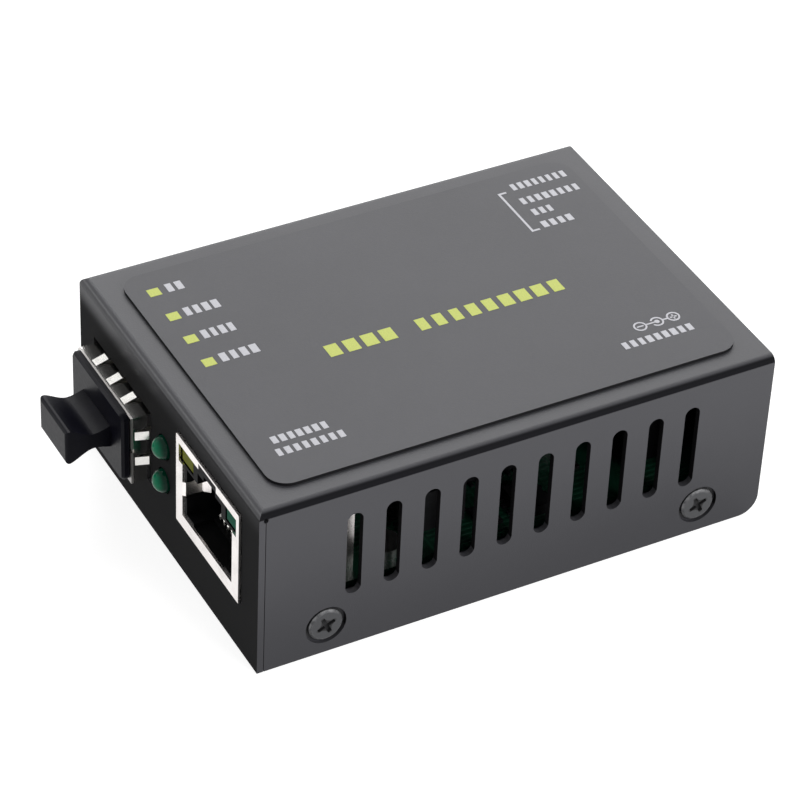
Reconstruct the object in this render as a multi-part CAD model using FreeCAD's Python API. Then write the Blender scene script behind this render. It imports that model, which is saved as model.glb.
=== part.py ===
import FreeCAD, Part
import math
import os
from FreeCAD import Vector

# Fibre media converter. Millimetres, +Z up, the port panel faces -Y.
# The origin is the centre of the casing's underside.

# ---------------------------------------------------------------- casing
casing_length = 67.0
casing_width = 48.5
casing_height = 23.4
sheet = 0.8
bend_radius = 1.0
seam = 0.08
relief_radius = 0.3
case_gap = 0.1
rear_corner_radius = 2.5
rear_panel_inset = 0.3
tray_flange_height = 6.6

# ventilation slots, one row in each side
slot_count = 10
slot_width = 2.0
slot_pitch = 4.9
slot_lower_end = 7.7
slot_top_margin = 3.9
slot_row_shift = 0.55

# cover screws and the dimples they sit in
screw_end_margin = 8.7
screw_height = 4.05
screw_radius = 1.2
screw_length = 2.6
screw_head_radius = 2.15
screw_head_height = 0.6
thread_clearance = 0.05
screw_clearance = 0.2
dimple_radius = 2.6
dimple_depth = 0.5
cross_length = 2.3
cross_width = 0.5
cross_depth = 0.4

# printed overlay on the top
label_side_margin = 3.15
label_front_margin = 3.45
label_rear_margin = 2.75
label_thickness = 0.4
label_radius = 2.6

# ---------------------------------------------------------------- circuit board
board_top = 7.2
board_thickness = 1.6
board_side_gap = 0.35
board_front_setback = 2.6
board_rear_gap = 0.6
standoff_across_flats = 4.2
standoff_shank_radius = 1.6
board_screw_radius = 1.2
board_screw_head_radius = 2.1
board_screw_head_height = 1.3
board_screw_length = 4.0
post_side_margin = 3.3
post_rear_margin = 4.4
post_aisle_setback = 12.3
post_jack_gap = 4.6
post_inlet_gap = 2.9

# ---------------------------------------------------------------- fibre port
cage_centre = -12.2
cage_inner_width = 14.0
cage_inner_height = 8.7
cage_sheet = 0.3
cage_length = 47.0
cage_reach = 2.1
cage_pin_width = 0.8
cage_pin_length = 2.4
cage_pin_clearance = 0.1
cage_pin_front_margin = 6.5
cage_pin_rear_margin = 2.5
cage_pin_count = 5
cage_window_width = 5.2
cage_window_front = 5.2
cage_window_rear = 17.0
cage_tongue_width = 3.8
cage_tongue_front = 8.4
collar_sheet = 0.2
collar_length = 3.9
port_gap = 0.55
finger_width = 1.2
finger_pitch = 4.0
finger_root = 0.7
finger_lift = 0.5
finger_window_gap = 0.15
finger_tail = 0.3
finger_crest = 1.0
side_finger_pitch = 3.75
side_finger_rise = 0.25
collar_notch_height = 0.5
collar_notch_depth = 0.4
connector_width = 11.2
connector_depth = 6.6
connector_height = 5.2
connector_rear_gap = 2.0
connector_floor_gap = 1.5
connector_step_depth = 1.6
connector_step_rise = 0.7
card_slot_rise = 2.3
card_slot_width = 8.4
card_slot_height = 1.3
card_slot_depth = 4.6
contact_pitch = 0.8
contact_count = 10
contact_width = 0.36
contact_thickness = 0.25
contact_setback = 0.6

# ---------------------------------------------------------------- dust plug
plug_depth = 9.0
plug_wall = 1.5
plug_rib_spread = 8.2
plug_side_gap = 0.2
plug_rib_gap = 0.05
plug_rib_width = 0.8
plug_lead_in = 0.9
plug_flange_width = 14.4
plug_flange_height = 9.8
plug_flange_rise = 0.3
plug_flange_thickness = 0.9
plug_flange_radius = 0.9
plug_seat_gap = 0.1
plug_rim_chamfer = 0.3
grip_width = 7.7
grip_reach = 5.65
grip_ridge = 0.6
grip_end_height = 4.7
grip_waist_height = 2.1
grip_waist_setback = 2.1
grip_root_height = 3.1
grip_corner_radius = 0.4

# ---------------------------------------------------------------- status lights
light_place = -0.6
light_heights = [9.8, 14.8]
light_radius = 1.5
light_rim_radius = 1.9
light_rim_length = 0.8
light_reach = 1.4
light_hole_clearance = 0.15
light_fit_clearance = 0.02
holder_width = 5.0
holder_depth = 6.2
holder_cover = 2.2
holder_corner_radius = 0.5
lead_size = 0.5
lead_spacing = 2.54
lead_drop_gap = 1.0
lead_drop_pitch = 1.6

# ---------------------------------------------------------------- copper port
jack_centre = 11.6
jack_width = 16.4
jack_height = 12.9
jack_depth = 14.6
jack_reach = 0.3
jack_gap = 0.2
shield_sheet = 0.3
port_sill = 1.8
port_width = 13.0
socket_width = 11.9
socket_height = 6.7
socket_depth = 10.8
socket_floor_rise = 0.4
latch_width = 6.2
latch_rise = 1.6
notch_width = 4.6
notch_rise = 1.1
lamp_window_width = 3.3
lamp_window_height = 2.5
lamp_window_inset = 0.7
lamp_setback = 0.05
lamp_depth = 7.0
lamp_face_radius = 0.4
tab_height = 2.0
tab_straight = 2.1
tab_ramp = 0.8
tab_curl = 0.6
tab_lean = 1.0
tab_rise = 3.95
tab_side_gap = 0.2
shield_leg_width = 1.0
shield_leg_length = 2.6
shield_leg_depths = [6.2, 11.0]
side_spring_setback = 6.4
side_spring_length = 3.6
side_spring_height = 2.0
side_spring_rise = 5.1
side_spring_bow = 0.6
side_slit_margin = 0.5
latch_setback = 2.0
wire_count = 8
wire_pitch = 1.016
wire_size = 0.35
wire_front = 3.1
wire_low = 0.3
wire_high = 1.5
wire_ramp = 1.2
comb_depth = 0.5

# ---------------------------------------------------------------- power inlet
inlet_centre = 13.0
inlet_width = 9.0
inlet_height = 11.0
inlet_depth = 14.0
inlet_bore_radius = 3.15
inlet_bore_depth = 9.5
inlet_bore_height = 6.5
inlet_pin_radius = 1.0
inlet_pin_setback = 0.6
inlet_hole_clearance = 0.6
inlet_boss_radius = 4.1
inlet_corner_radius = 1.0
inlet_spring_sheet = 0.3
inlet_spring_width = 2.0
inlet_spring_foot = 1.0
inlet_spring_crest = 5.0
inlet_spring_tail = 1.6
inlet_spring_drop = 0.9
inlet_spring_gap = 0.2
inlet_recess_gap = 0.1
inlet_recess_depth = 9.0

# ---------------------------------------------------------------- parts on the board
part_gap = 0.4
lead_foot = 1.0
lead_thickness = 0.3
small_lead_width = 0.5
package_lift = 0.1
chip_size = 10.0
chip_height = 1.0
chip_centre = 7.4
chip_leads_per_side = 8
chip_lead_pitch = 1.0
chip_lead_width = 0.4
chip_lead_reach = 0.8
magnetics_size = (12.6, 7.0, 5.8)
magnetics_jack_gap = 7.6
magnetics_lead_count = 10
magnetics_lead_pitch = 1.1
crystal_size = (11.2, 4.6, 3.4)
crystal_centre = 3.2
crystal_end_share = 0.45
inductor_size = 6.2
inductor_height = 3.0
inductor_centre = -2.0
inductor_rear_gap = 12.4
inductor_corner_radius = 1.2
winding_depth = 0.5
winding_margin = 0.7
winding_width = 1.2
capacitor_radius = 3.1
capacitor_height = 7.6
capacitor_base_height = 0.9
capacitor_base_size = 6.6
capacitor_centre = -9.6
capacitor_gap = 1.0
regulator_size = (6.5, 3.6, 1.7)
regulator_centre = -1.9
regulator_rear_gap = 5.0
regulator_lead_count = 3
memory_size = (5.0, 4.0, 1.5)
memory_side_margin = 3.2
memory_lead_count = 4
ceramic_size = (2.0, 1.25, 0.9)
ceramic_pitch = 3.0
resistor_size = (1.6, 0.8, 0.45)
resistor_pitch = 2.0

# ---------------------------------------------------------------- derived places
front = -casing_length / 2
rear = casing_length / 2
side = casing_width / 2
cover_inside = side - sheet
tray_side = cover_inside - dimple_depth
tray_inside = tray_side - sheet
rear_panel_outer = rear - rear_panel_inset
rear_panel_inner = rear_panel_outer - sheet
board_bottom = board_top - board_thickness
board_half_width = tray_inside - board_side_gap
board_front = front + board_front_setback
board_rear = rear_panel_inner - board_rear_gap
cage_front = front - cage_reach
cage_rear = cage_front + cage_length
cage_half = cage_inner_width / 2 + cage_sheet
cage_top = board_top + cage_inner_height + 2 * cage_sheet
cage_middle = board_top + cage_sheet + cage_inner_height / 2
connector_front = cage_rear - cage_sheet - connector_rear_gap - connector_depth
card_slot_low = board_top + cage_sheet + card_slot_rise
collar_half = cage_half + collar_sheet
jack_front = front - jack_reach
jack_rear = jack_front + jack_depth
port_floor = board_top + port_sill
socket_floor = port_floor + socket_floor_rise
socket_ceiling = socket_floor + socket_height
jack_top = board_top + jack_height
tab_centre = port_floor + tab_rise
lamp_low_edge = jack_top - notch_rise - lamp_window_height
inlet_axis = board_top + inlet_bore_height
inlet_rear = rear_panel_inner - case_gap
inlet_front = inlet_rear - inlet_depth

# posts under the board: in the aisle between the ports, behind the jack, and two at the rear
standoff_places = [
    (light_place, board_front + post_aisle_setback),
    (board_half_width - post_side_margin, jack_rear + post_jack_gap),
    (-board_half_width + post_side_margin, board_rear - post_rear_margin),
    (inlet_centre - inlet_width / 2 - post_inlet_gap, board_rear - post_rear_margin),
]

# rows of parts on the board, each set from the one in front of it
magnetics_place = (jack_centre, jack_rear + magnetics_jack_gap + lead_foot + magnetics_size[1] / 2)
chip_front = magnetics_place[1] + magnetics_size[1] / 2 + lead_foot + part_gap
chip_place = (chip_centre, chip_front + chip_lead_reach + chip_size / 2)
chip_rear = chip_place[1] + chip_size / 2 + chip_lead_reach
crystal_place = (crystal_centre, chip_rear + 4 * part_gap + crystal_size[1] / 2)
memory_place = (board_half_width - memory_side_margin, chip_place[1] + 2 * part_gap)
inductor_place = (inductor_centre, board_rear - inductor_rear_gap)
regulator_place = (regulator_centre, board_rear - regulator_rear_gap)
capacitor_reach = capacitor_gap + capacitor_base_size / 2
capacitor_places = [(capacitor_centre, cage_rear + capacitor_reach),
                    (capacitor_centre, board_rear - capacitor_reach)]
ceramic_places = (
    [(light_place, standoff_places[0][1] + 1.5 * ceramic_pitch + step * ceramic_pitch)
     for step in range(3)]
    + [(chip_centre - 2.5 * ceramic_pitch, chip_front + ceramic_pitch * (step + 0.5))
       for step in range(3)]
    + [(inductor_centre + 1.5 * ceramic_pitch, inductor_place[1] + step * ceramic_pitch)
       for step in range(2)])
resistor_places = (
    [(memory_place[0] + side_step * resistor_pitch / 2, chip_front + row * resistor_pitch)
     for side_step in (-1, 1) for row in (0, 1)]
    + [(crystal_centre + crystal_size[0] / 2 + step * resistor_pitch, crystal_place[1] - part_gap)
       for step in (1, 2, 3)]
    + [(-board_half_width + post_side_margin, cage_rear + step * resistor_pitch)
       for step in (1, 2, 3)])


def block(x0, x1, y0, y1, z0, z1):
    return Part.makeBox(x1 - x0, y1 - y0, z1 - z0, Vector(x0, y0, z0))


def centred_block(x, y, z0, size):
    wide, deep, high = size
    return block(x - wide / 2, x + wide / 2, y - deep / 2, y + deep / 2, z0, z0 + high)


def rod(x, y, z, radius, length, axis):
    return Part.makeCylinder(radius, length, Vector(x, y, z), axis)


def along_x(points, x0, x1):
    """Prism of a closed outline given as (y, z) points."""
    corners = [Vector(x0, y, z) for y, z in points]
    face = Part.Face(Part.makePolygon(corners + corners[:1]))
    return face.extrude(Vector(x1 - x0, 0, 0))


def along_y(points, y0, y1):
    """Prism of a closed outline given as (x, z) points."""
    corners = [Vector(x, y0, z) for x, z in points]
    face = Part.Face(Part.makePolygon(corners + corners[:1]))
    return face.extrude(Vector(0, y1 - y0, 0))


def along_z(points, z0, z1):
    """Prism of a closed outline given as (x, y) points."""
    corners = [Vector(x, y, z0) for x, y in points]
    face = Part.Face(Part.makePolygon(corners + corners[:1]))
    return face.extrude(Vector(0, 0, z1 - z0))


def rounded(shape, radius, along, places):
    """Rounds the straight edges along one axis that pass through the given places."""
    chosen = []
    for edge in shape.Edges:
        direction = edge.tangentAt(edge.FirstParameter)
        if abs(abs(direction.dot(along)) - 1) > 1e-6:
            continue
        middle = edge.CenterOfMass
        flat = middle - along * middle.dot(along)
        if any((flat - place).Length < 1e-4 for place in places):
            chosen.append(edge)
    return shape.makeFillet(radius, chosen)


def fused(shapes):
    whole = shapes[0].fuse(shapes[1:]) if len(shapes) > 1 else shapes[0]
    return whole.removeSplitter()


X = Vector(1, 0, 0)
Y = Vector(0, 1, 0)
Z = Vector(0, 0, 1)


# ---------------------------------------------------------------- casing pieces
def screw_places():
    return [(way, y) for way in (-1, 1) for y in (front + screw_end_margin, rear - screw_end_margin)]


def side_rod(way, y, z, inner, outer, radius):
    """A round bar across one side wall, from x = inner to x = outer on that side."""
    return rod(way * inner, y, z, radius, outer - inner, X * way)


def slot_cutters():
    """Upright slots with round ends, through both sides."""
    radius = slot_width / 2
    cutters = []
    for index in range(slot_count):
        y = slot_row_shift + (index - (slot_count - 1) / 2) * slot_pitch
        low = slot_lower_end + radius
        high = casing_height - slot_top_margin - radius
        bar = block(-side - 1, side + 1, y - radius, y + radius, low, high)
        ends = [rod(-side - 1, y, z, radius, casing_width + 2, X) for z in (low, high)]
        cutters.append(fused([bar] + ends))
    return cutters


def bent_block(half, y0, y1, z0, z1, radius, fold_y, fold_z):
    """Block whose face at z = fold_z is rounded along both sides and along the end y = fold_y.

    The folds meet square, so the upright corners stay sharp.
    """
    plain = block(-half, half, y0, y1, z0, z1)
    side_folds = rounded(plain, radius, Y, [Vector(-half, 0, fold_z), Vector(half, 0, fold_z)])
    end_fold = rounded(plain, radius, X, [Vector(0, fold_y, fold_z)])
    return side_folds.common(end_fold)


def folded_cover():
    """Top, front flange and side flanges, bent round three edges of one sheet."""
    outer = bent_block(side, front, rear, 0, casing_height, bend_radius, front, casing_height)
    inner_top = casing_height - sheet
    inner = bent_block(cover_inside, front + sheet, rear + 5, -5, inner_top, bend_radius - sheet,
                       front + sheet, inner_top)
    return outer.cut(inner)


def top_cover():
    cover = folded_cover()
    bumps = []
    cutters = slot_cutters()
    for way, y in screw_places():
        bumps.append(side_rod(way, y, screw_height, tray_side, cover_inside + 0.1,
                              dimple_radius + sheet / 2))
        cutters.append(side_rod(way, y, screw_height, side - dimple_depth, side + 1, dimple_radius))
        cutters.append(side_rod(way, y, screw_height, tray_side - 1, side,
                                screw_radius + screw_clearance))
    seam_y = front + sheet
    fold_z = casing_height - bend_radius
    for way in (-1, 1):
        inner_x, outer_x = sorted((way * (cover_inside - 0.05), way * (side + 1)))
        cutters.append(block(inner_x, outer_x, seam_y, seam_y + seam, -1, fold_z))
        cutters.append(side_rod(way, seam_y + seam / 2, fold_z, cover_inside - 0.05, side + 1,
                                relief_radius))
        corner = block(inner_x, outer_x, rear - rear_corner_radius, rear + 1, -1, rear_corner_radius)
        round_off = side_rod(way, rear - rear_corner_radius, rear_corner_radius,
                             cover_inside - 1, side + 2, rear_corner_radius)
        cutters.append(corner.cut(round_off))
    cutters += front_cutters()
    return cover.fuse(bumps).cut(cutters).removeSplitter()


def front_cutters():
    """Openings in the front flange for both ports and the two lights."""
    y0 = front - 1
    y1 = front + sheet + 0.1
    half = collar_half + port_gap
    low = board_top - collar_sheet - port_gap
    high = cage_top + collar_sheet + port_gap
    cutters = [block(cage_centre - half, cage_centre + half, y0, y1, low, high)]
    half = jack_width / 2 + jack_gap
    cutters.append(block(jack_centre - half, jack_centre + half, y0, y1,
                         board_top - jack_gap, jack_top + jack_gap))
    for z in light_heights:
        cutters.append(rod(light_place, y0, z, light_radius + light_hole_clearance, y1 - y0, Y))
    return cutters


def base_tray():
    """Floor with low side flanges and the rear panel."""
    floor_front = front + sheet + case_gap
    panel_top = casing_height - sheet - case_gap
    outer = bent_block(tray_side, floor_front, rear_panel_outer, 0, panel_top, bend_radius,
                       rear_panel_outer, 0)
    inner = bent_block(tray_inside, floor_front - 5, rear_panel_inner, sheet, panel_top + 5,
                       bend_radius - sheet, rear_panel_inner, sheet)
    tray = outer.cut(inner)
    fold_y = rear_panel_inner - relief_radius
    above = block(-side, side, floor_front - 1, fold_y, tray_flange_height, panel_top + 1)
    tray = tray.cut(above)
    wings = []
    cutters = []
    for way in (-1, 1):
        x0, x1 = sorted((way * tray_inside, way * (cover_inside - case_gap)))
        wings.append(block(x0, x1, rear_panel_inner, rear_panel_outer,
                           bend_radius + relief_radius, panel_top - bend_radius))
        x0, x1 = sorted((way * (tray_inside - 0.05), way * (tray_side + 1)))
        cutters.append(block(x0, x1, fold_y, rear_panel_inner, bend_radius, panel_top + 1))
    for way, y in screw_places():
        cutters.append(side_rod(way, y, screw_height, tray_inside - 1, tray_side + 1,
                                screw_radius + thread_clearance))
    for x, y in standoff_places:
        cutters.append(rod(x, y, -1, standoff_shank_radius, sheet + 2, Z))
    cutters.append(rod(inlet_centre, rear_panel_inner - 1, board_top + inlet_bore_height,
                       inlet_boss_radius + inlet_hole_clearance / 2, sheet + 3, Y))
    return tray.fuse(wings).cut(cutters).removeSplitter()


def label_overlay():
    """Printed plate stuck on the top."""
    half_width = side - label_side_margin
    y0 = front + label_front_margin
    y1 = rear - label_rear_margin
    plate = block(-half_width, half_width, y0, y1, casing_height, casing_height + label_thickness)
    corners = [Vector(x, y, 0) for x in (-half_width, half_width) for y in (y0, y1)]
    return rounded(plate, label_radius, Z, corners)


def cross_cutter(reach, depth):
    """Cross recess at the origin, sunk along -X from x = 0."""
    arms = [block(-depth, reach, -cross_length / 2, cross_length / 2, -cross_width / 2, cross_width / 2),
            block(-depth, reach, -cross_width / 2, cross_width / 2, -cross_length / 2, cross_length / 2)]
    return fused(arms)


def cover_screws():
    screws = []
    seat = side - dimple_depth
    head = Part.makeCylinder(screw_head_radius, screw_head_height, Vector(0, 0, 0), X)
    rim = [edge for edge in head.Edges if abs(edge.CenterOfMass.x - screw_head_height) < 1e-6]
    head = head.makeChamfer(screw_head_height * 0.4, rim)
    shank = Part.makeCylinder(screw_radius, screw_length, Vector(-screw_length, 0, 0), X)
    cross = cross_cutter(1, cross_depth)
    cross.rotate(Vector(0, 0, 0), X, 25)
    cross.translate(Vector(screw_head_height, 0, 0))
    screw = fused([head, shank]).cut(cross)
    for way, y in screw_places():
        one = screw.copy()
        if way < 0:
            one.rotate(Vector(0, 0, 0), Z, 180)
        one.translate(Vector(way * seat, y, screw_height))
        screws.append(one)
    return Part.makeCompound(screws)


# ---------------------------------------------------------------- board and its fixings
def circuit_board():
    board = block(-board_half_width, board_half_width, board_front, board_rear,
                  board_bottom, board_top)
    cutters = []
    for x, y in standoff_places:
        cutters.append(rod(x, y, board_bottom - 1, board_screw_radius + screw_clearance,
                           board_thickness + 2, Z))
    for x, y, wide, deep in cage_pin_places() + shield_leg_places():
        cutters.append(block(x - wide / 2 - cage_pin_clearance, x + wide / 2 + cage_pin_clearance,
                             y - deep / 2 - cage_pin_clearance, y + deep / 2 + cage_pin_clearance,
                             board_bottom - 1, board_top + 1))
    return board.cut(cutters)


def board_standoffs():
    """Hexagonal posts riveted into the tray's floor."""
    posts = []
    corner = standoff_across_flats / math.sqrt(3)
    for x, y in standoff_places:
        turns = [math.radians(60 * step) for step in range(6)]
        outline = [(x + corner * math.cos(turn), y + corner * math.sin(turn)) for turn in turns]
        post = along_z(outline, sheet, board_bottom)
        shank = rod(x, y, 0, standoff_shank_radius, sheet, Z)
        bore = rod(x, y, -1, board_screw_radius + thread_clearance, board_top + 2, Z)
        posts.append(fused([post, shank]).cut(bore))
    return Part.makeCompound(posts)


def board_screws():
    screws = []
    for x, y in standoff_places:
        head = rod(x, y, board_top, board_screw_head_radius, board_screw_head_height, Z)
        shank = rod(x, y, board_top - board_screw_length, board_screw_radius, board_screw_length, Z)
        screws.append(fused([head, shank]))
    return Part.makeCompound(screws)


# ---------------------------------------------------------------- fibre port
def cage_pin_places():
    """Centre and size of each pin under the cage's side walls."""
    places = []
    offset = cage_inner_width / 2 + cage_sheet / 2
    first = cage_front + cage_pin_front_margin
    pitch = (cage_rear - cage_pin_rear_margin - first) / (cage_pin_count - 1)
    for index in range(cage_pin_count):
        y = first + index * pitch
        for way in (-1, 1):
            places.append((cage_centre + way * offset, y, cage_sheet, cage_pin_width))
    return places


def cage_shell():
    """Top, sides and end wall of the stamped cage, with pins through the board."""
    inner_half = cage_inner_width / 2
    outer = block(cage_centre - cage_half, cage_centre + cage_half, cage_front, cage_rear,
                  board_top, cage_top)
    hollow = block(cage_centre - inner_half, cage_centre + inner_half, cage_front - 1,
                   cage_rear - cage_sheet, board_top - 1, cage_top - cage_sheet)
    shell = outer.cut(hollow)
    pins = []
    for x, y, wide, deep in cage_pin_places():
        pins.append(block(x - wide / 2, x + wide / 2, y - deep / 2, y + deep / 2,
                          board_top - cage_pin_length, board_top))
    return shell.fuse(pins).removeSplitter()


def cage_floor():
    """Bottom plate with the latch window and its sprung tongue."""
    half = cage_inner_width / 2
    plate = block(cage_centre - half, cage_centre + half, cage_front,
                  connector_front - connector_floor_gap, board_top, board_top + cage_sheet)
    half = cage_window_width / 2
    window = block(cage_centre - half, cage_centre + half, cage_front + cage_window_front,
                   cage_front + cage_window_rear, board_top - 1, board_top + 1)
    half = cage_tongue_width / 2
    tongue = block(cage_centre - half, cage_centre + half, cage_front + cage_tongue_front,
                   cage_front + cage_window_rear, board_top, board_top + cage_sheet)
    return plate.cut(window).fuse(tongue).removeSplitter()


def finger_profile():
    """One sprung finger as (distance behind the collar's lip, height) points."""
    t = collar_sheet
    crest = cage_reach + collar_sheet + sheet / 2
    near = crest - finger_crest / 2
    far = crest + finger_crest / 2
    tail = collar_length - finger_tail
    lower = [(finger_root, 0), (near, finger_lift), (far, finger_lift), (tail, 0)]
    upper = [(tail + t, t), (far + t / 2, finger_lift + t), (near - t / 2, finger_lift + t),
             (finger_root - t, t)]
    return lower + upper


def finger(face_z):
    """A finger standing on the plane z = face_z, centred on x = 0."""
    lip = cage_front - collar_sheet
    points = [(lip + y, face_z + z) for y, z in finger_profile()]
    return along_x(points, -finger_width / 2, finger_width / 2)


def finger_window(face_z):
    lip = cage_front - collar_sheet
    half = finger_width / 2 + finger_window_gap
    return block(-half, half, lip + finger_root + 0.05, lip + collar_length - finger_tail - 0.05,
                 face_z - 0.01, face_z + 2 * collar_sheet)


def placed_fingers(maker):
    """Copies of one finger form round all four sides of the collar."""
    made = []
    middle = (board_top + cage_top) / 2
    half_height = (cage_top - board_top) / 2
    for turn, half, pitch, count, rise in ((0, half_height, finger_pitch, 3, 0),
                                           (180, half_height, finger_pitch, 3, 0),
                                           (90, cage_half, side_finger_pitch, 2, side_finger_rise),
                                           (-90, cage_half, side_finger_pitch, 2, side_finger_rise)):
        for index in range(count):
            one = maker(half)
            one.translate(Vector((index - (count - 1) / 2) * pitch, 0, 0))
            one.rotate(Vector(0, 0, 0), Y, turn)
            one.translate(Vector(cage_centre, 0, middle + rise))
            made.append(one)
    return made


def cage_spring_collar():
    """Band folded over the cage's mouth, with fingers pressing on the front flange."""
    lip = cage_front - collar_sheet
    band = block(cage_centre - collar_half, cage_centre + collar_half, lip, lip + collar_length,
                 board_top - collar_sheet, cage_top + collar_sheet)
    band = band.cut(block(cage_centre - cage_half, cage_centre + cage_half, cage_front,
                          lip + collar_length + 1, board_top, cage_top))
    mouth_half = cage_inner_width / 2
    mouth = block(cage_centre - mouth_half, cage_centre + mouth_half, lip - 1, cage_front + 1,
                  board_top + cage_sheet, cage_top - cage_sheet)
    notch = block(cage_centre + cage_half - cage_sheet, cage_centre + collar_half + 1, lip - 1,
                  lip + collar_notch_depth, cage_middle - collar_notch_height / 2,
                  cage_middle + collar_notch_height / 2)
    band = band.cut([mouth, notch] + placed_fingers(finger_window))
    return band.fuse(placed_fingers(finger)).removeSplitter()


def sfp_connector():
    """Board connector at the closed end of the cage."""
    y0 = connector_front
    half = connector_width / 2
    body = block(cage_centre - half, cage_centre + half, y0, y0 + connector_depth,
                 board_top, board_top + connector_height)
    slot = block(cage_centre - card_slot_width / 2, cage_centre + card_slot_width / 2,
                 y0 - 1, y0 + card_slot_depth, card_slot_low, card_slot_low + card_slot_height)
    step = block(cage_centre - half - 1, cage_centre + half + 1, y0 - 1, y0 + connector_step_depth,
                 card_slot_low + card_slot_height + connector_step_rise,
                 board_top + connector_height + 1)
    return body.cut([slot, step]).removeSplitter()


def sfp_contacts():
    """Two rows of contact blades in the card slot."""
    blades = []
    y0 = connector_front + contact_setback
    y1 = connector_front + card_slot_depth
    for index in range(contact_count):
        x = cage_centre + (index - (contact_count - 1) / 2) * contact_pitch
        for z in (card_slot_low, card_slot_low + card_slot_height - contact_thickness):
            blades.append(block(x - contact_width / 2, x + contact_width / 2, y0, y1,
                                z, z + contact_thickness))
    return Part.makeCompound(blades)


def grip_flank(base_y, way):
    """Upper (way 1) or lower (way -1) edge of the grip, from the end bar to the flange."""
    waist_y = base_y - grip_waist_setback
    ridge_y = base_y - grip_reach + grip_ridge
    third = (waist_y - ridge_y) / 3
    quarter = grip_waist_setback / 3
    end_z = way * grip_end_height / 2
    waist_z = way * grip_waist_height / 2
    root_z = way * grip_root_height / 2
    swell = [(ridge_y, end_z), (ridge_y + third, end_z - way * third / 3),
             (waist_y - third, waist_z), (waist_y, waist_z)]
    flare = [(waist_y, waist_z), (waist_y + quarter, waist_z),
             (base_y - quarter, (waist_z + root_z) / 2), (base_y, root_z)]
    edges = []
    for points in (swell, flare):
        curve = Part.BezierCurve()
        curve.setPoles([Vector(0, y, cage_middle + z) for y, z in points])
        edges.append(curve.toShape())
    return edges


def grip_profile(base_y):
    """Side outline of the grip: deep end bar, then a hollowed waist."""
    end = base_y - grip_reach
    ridge = end + grip_ridge
    low = cage_middle - grip_end_height / 2
    high = cage_middle + grip_end_height / 2
    edges = [Part.makeLine(Vector(0, end, low), Vector(0, end, high)),
             Part.makeLine(Vector(0, end, high), Vector(0, ridge, high))]
    edges += grip_flank(base_y, 1)
    edges.append(Part.makeLine(Vector(0, base_y, cage_middle + grip_root_height / 2),
                               Vector(0, base_y, cage_middle - grip_root_height / 2)))
    edges += reversed(grip_flank(base_y, -1))
    edges.append(Part.makeLine(Vector(0, ridge, low), Vector(0, end, low)))
    return Part.Face(Part.Wire(Part.sortEdges(edges)[0]))


def plug_flange(flange_front, flange_rear):
    """Rounded plate that covers the cage's mouth."""
    half = plug_flange_width / 2
    middle = cage_middle + plug_flange_rise
    low = middle - plug_flange_height / 2
    high = middle + plug_flange_height / 2
    plate = block(cage_centre - half, cage_centre + half, flange_front, flange_rear, low, high)
    corners = [Vector(cage_centre + way * half, 0, z) for way in (-1, 1) for z in (low, high)]
    plate = rounded(plate, plug_flange_radius, Y, corners)
    rim = [edge for edge in plate.Edges if abs(edge.CenterOfMass.y - flange_front) < 1e-6]
    return plate.makeChamfer(plug_rim_chamfer, rim)


def plug_grip(base_y):
    """Finger grip, the same width all along, with its end face rounded off."""
    grip = grip_profile(base_y).extrude(Vector(grip_width, 0, 0))
    grip.translate(Vector(cage_centre - grip_width / 2, 0, 0))
    end_y = base_y - grip_reach
    end_edges = [edge for edge in grip.Edges if abs(edge.CenterOfMass.y - end_y) < 1e-6]
    return grip.makeFillet(grip_corner_radius, end_edges)


def dust_plug():
    """Pull-out plug: ribbed hollow body, flange over the mouth and a waisted grip."""
    seat = cage_front - collar_sheet - plug_seat_gap
    end = seat + plug_depth
    half = cage_inner_width / 2 - plug_side_gap
    low = board_top + cage_sheet + plug_side_gap
    high = cage_top - cage_sheet - plug_side_gap
    body = block(cage_centre - half, cage_centre + half, seat, end, low, high)
    end_edges = [edge for edge in body.Edges if abs(edge.CenterOfMass.y - end) < 1e-6]
    body = body.makeChamfer(plug_lead_in, end_edges)
    pocket = block(cage_centre - half + plug_wall, cage_centre + half - plug_wall,
                   seat + plug_wall, end + 1, low + plug_wall, high - plug_wall)
    rib_out = plug_side_gap - plug_rib_gap
    rib_end = end - plug_lead_in - plug_rib_width
    rib_half = plug_rib_width / 2
    ribs = []
    for way in (-1, 1):
        x = cage_centre + way * plug_rib_spread / 2
        ribs.append(block(x - rib_half, x + rib_half, seat, rib_end, low - rib_out, high + rib_out))
    ribs.append(block(cage_centre - half - rib_out, cage_centre + half + rib_out, seat, rib_end,
                      cage_middle - rib_half, cage_middle + rib_half))
    flange_front = seat - plug_flange_thickness
    pieces = [plug_flange(flange_front, seat), plug_grip(flange_front)]
    return body.fuse(ribs).cut(pocket).fuse(pieces).removeSplitter()


# ---------------------------------------------------------------- status lights
def led_holder():
    """Right-angle block that carries both lights on the board."""
    y0 = board_front
    top = max(light_heights) + holder_cover
    body = block(light_place - holder_width / 2, light_place + holder_width / 2,
                 y0, y0 + holder_depth, board_top, top)
    body = rounded(body, holder_corner_radius, Y, [Vector(light_place - holder_width / 2, 0, top),
                                                   Vector(light_place + holder_width / 2, 0, top)])
    bores = [rod(light_place, y0 - 1, z, light_radius + light_fit_clearance, holder_depth + 2, Y)
             for z in light_heights]
    rims = [rod(light_place, y0 + holder_depth - light_rim_length, z,
                light_rim_radius + light_fit_clearance, light_rim_length + 1, Y)
            for z in light_heights]
    return body.cut(bores + rims)


def status_light(z):
    """Domed light: dome out of the panel, rim in the holder's counterbore."""
    tip = front - light_reach
    rim_front = board_front + holder_depth - light_rim_length
    straight = rod(light_place, tip + light_radius, z, light_radius,
                   rim_front - tip - light_radius, Y)
    dome = Part.makeSphere(light_radius, Vector(light_place, tip + light_radius, z), Y, -90, 0, 360)
    rim = rod(light_place, rim_front, z, light_rim_radius, light_rim_length, Y)
    return fused([straight, dome, rim])


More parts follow.
